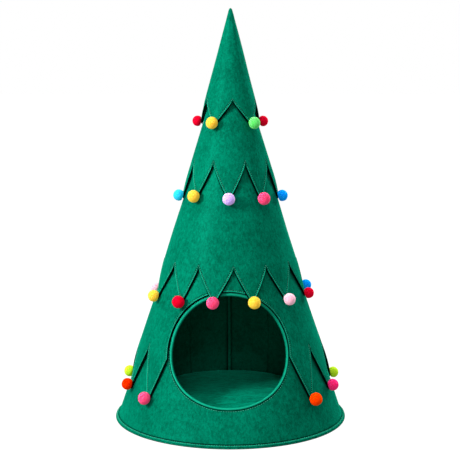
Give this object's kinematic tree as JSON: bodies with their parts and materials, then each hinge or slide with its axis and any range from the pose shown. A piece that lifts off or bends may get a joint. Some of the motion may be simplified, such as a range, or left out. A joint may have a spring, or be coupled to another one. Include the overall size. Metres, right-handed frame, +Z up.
{
  "type": "cat tent",
  "caption": "Cone-shaped felt cat tent cut like a fir tree, with overlapping zigzag tiers, felt pompoms at the points, a round doorway and a floor cushion.",
  "frame": {"origin": "centre of the base, on the ground under the tip", "axes": "+Z up along the cone; the doorway faces -Y; +X is to the right for someone facing the doorway"},
  "size_m": [0.4, 0.4, 0.7005],
  "materials": {
    "felt": "needled wool-look felt, matt, fine mottled fibre",
    "felt_tape": "narrow felt tape, matt",
    "cushion_felt": "brushed felt with a soft pile",
    "ball_blue": "dense felted wool ball",
    "ball_blush": "dense felted wool ball",
    "ball_crimson": "dense felted wool ball",
    "ball_cyan": "dense felted wool ball",
    "ball_ember": "dense felted wool ball",
    "ball_leaf": "dense felted wool ball",
    "ball_lilac": "dense felted wool ball",
    "ball_lime": "dense felted wool ball",
    "ball_magenta": "dense felted wool ball",
    "ball_orange": "dense felted wool ball",
    "ball_rose": "dense felted wool ball",
    "ball_yellow": "dense felted wool ball"
  },
  "bodies": {
    "root": {"floor_disc": "felt", "wall": "felt", "seam_tape": "felt_tape", "cushion": "cushion_felt", "tier_1": "felt", "pompom_1_01": "ball_crimson", "pompom_1_02": "ball_yellow", "pompom_1_03": "ball_leaf", "pompom_1_04": "ball_crimson", "pompom_1_05": "ball_blue", "tier_2": "felt", "pompom_2_01": "ball_cyan", "pompom_2_02": "ball_yellow", "pompom_2_03": "ball_lilac", "pompom_2_04": "ball_rose", "pompom_2_05": "ball_blue", "pompom_2_06": "ball_lime", "pompom_2_07": "ball_crimson", "pompom_2_08": "ball_orange", "pompom_2_09": "ball_lilac", "tier_3": "felt", "pompom_3_01": "ball_blush", "pompom_3_02": "ball_yellow", "pompom_3_03": "ball_crimson", "pompom_3_04": "ball_rose", "pompom_3_05": "ball_yellow", "pompom_3_06": "ball_blush", "pompom_3_07": "ball_crimson", "pompom_3_08": "ball_blue", "pompom_3_09": "ball_lime", "pompom_3_10": "ball_rose", "pompom_3_11": "ball_lilac", "pompom_3_12": "ball_yellow", "tier_4": "felt", "pompom_4_01": "ball_orange", "pompom_4_02": "ball_magenta", "pompom_4_03": "ball_lime", "pompom_4_04": "ball_blue", "pompom_4_05": "ball_yellow", "pompom_4_06": "ball_rose", "pompom_4_07": "ball_cyan", "pompom_4_08": "ball_crimson", "pompom_4_09": "ball_lilac", "pompom_4_10": "ball_lime", "pompom_4_11": "ball_ember", "pompom_4_12": "ball_rose"}
  },
  "joints": []
}
